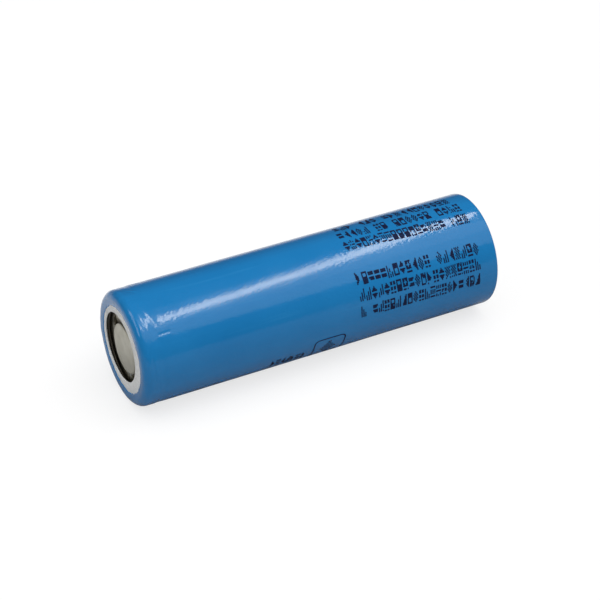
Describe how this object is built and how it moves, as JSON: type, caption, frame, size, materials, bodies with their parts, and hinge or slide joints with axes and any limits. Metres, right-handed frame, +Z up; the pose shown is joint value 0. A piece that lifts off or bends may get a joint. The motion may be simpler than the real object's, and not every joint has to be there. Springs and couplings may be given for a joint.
{
  "type": "cylindrical battery cell",
  "caption": "Round wound lithium-ion cell in a blue shrink sleeve, with a recessed disc terminal inside a pale washer at one end and a bare flat can base at the other.",
  "frame": {"origin": "middle of the cell, on its axis", "axes": "+X runs along the cell from the positive end to the negative end; the cell lies on its side with +Z up"},
  "size_m": [0.0706, 0.0212, 0.0212],
  "materials": {
    "sleeve_film": "glossy heat-shrunk blue film with a faint orange-peel surface",
    "washer_board": "matt off-white fibre board",
    "nickel_plated_steel": "drawn and nickel plated, satin",
    "gasket_polymer": "matt black moulded polymer",
    "cap_steel": "pressed and nickel plated, satin with a bright edge",
    "vent_aluminium": "bright rolled sheet",
    "spacer_polymer": "natural moulded polymer",
    "plate_aluminium": "rolled sheet, satin",
    "anode_coating": "matt graphite coating on foil",
    "separator_film": "thin white porous film",
    "cathode_coating": "calendered dark oxide coating on foil",
    "tape_film": "amber adhesive tape",
    "pin_steel": "plain rolled tube",
    "insulator_board": "matt glass-fibre sheet",
    "tab_aluminium": "soft rolled strip",
    "tab_nickel": "soft rolled nickel strip"
  },
  "bodies": {
    "root": {"sleeve": "sleeve_film", "insulating_washer": "washer_board", "can": "nickel_plated_steel", "gasket": "gasket_polymer", "positive_cap": "cap_steel", "safety_vent": "vent_aluminium", "vent_spacer": "spacer_polymer", "contact_plate": "plate_aluminium", "anode": "anode_coating", "separator_inner": "separator_film", "cathode": "cathode_coating", "separator_outer": "separator_film", "closing_tape": "tape_film", "centre_pin": "pin_steel", "upper_insulator": "insulator_board", "lower_insulator": "insulator_board", "cathode_tab": "tab_aluminium", "anode_tab": "tab_nickel", "cathode_tab_tape": "tape_film", "anode_tab_tape": "tape_film"}
  },
  "joints": []
}
